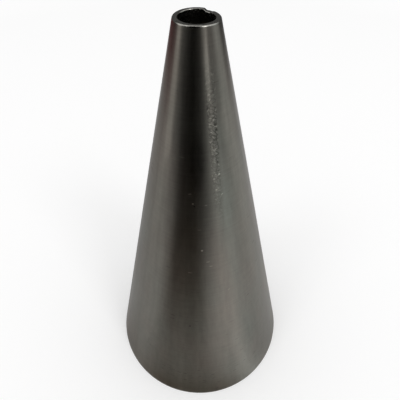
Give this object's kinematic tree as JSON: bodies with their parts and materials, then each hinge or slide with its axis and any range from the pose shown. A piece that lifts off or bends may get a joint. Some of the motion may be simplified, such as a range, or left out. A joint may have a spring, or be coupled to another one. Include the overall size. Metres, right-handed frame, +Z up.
{
  "type": "piping nozzle",
  "caption": "Plain round piping nozzle: a tall, thin-walled cone of brushed stainless sheet with a ground side seam and a small round mouth.",
  "frame": {"origin": "centre of the circular edge that the nozzle stands on, at the height of that edge", "axes": "+Z up the cone's axis to the mouth; the side seam lies on the -Y side; +X completes the right-handed frame"},
  "size_m": [0.026, 0.026, 0.05],
  "materials": {
    "brushed_sheet": "stainless sheet, brushed round the cone",
    "ground_weld": "stainless weld, ground flush outside and left as laid inside"
  },
  "bodies": {
    "root": {"cone_shell": "brushed_sheet", "seam_weld": "ground_weld"}
  },
  "joints": []
}
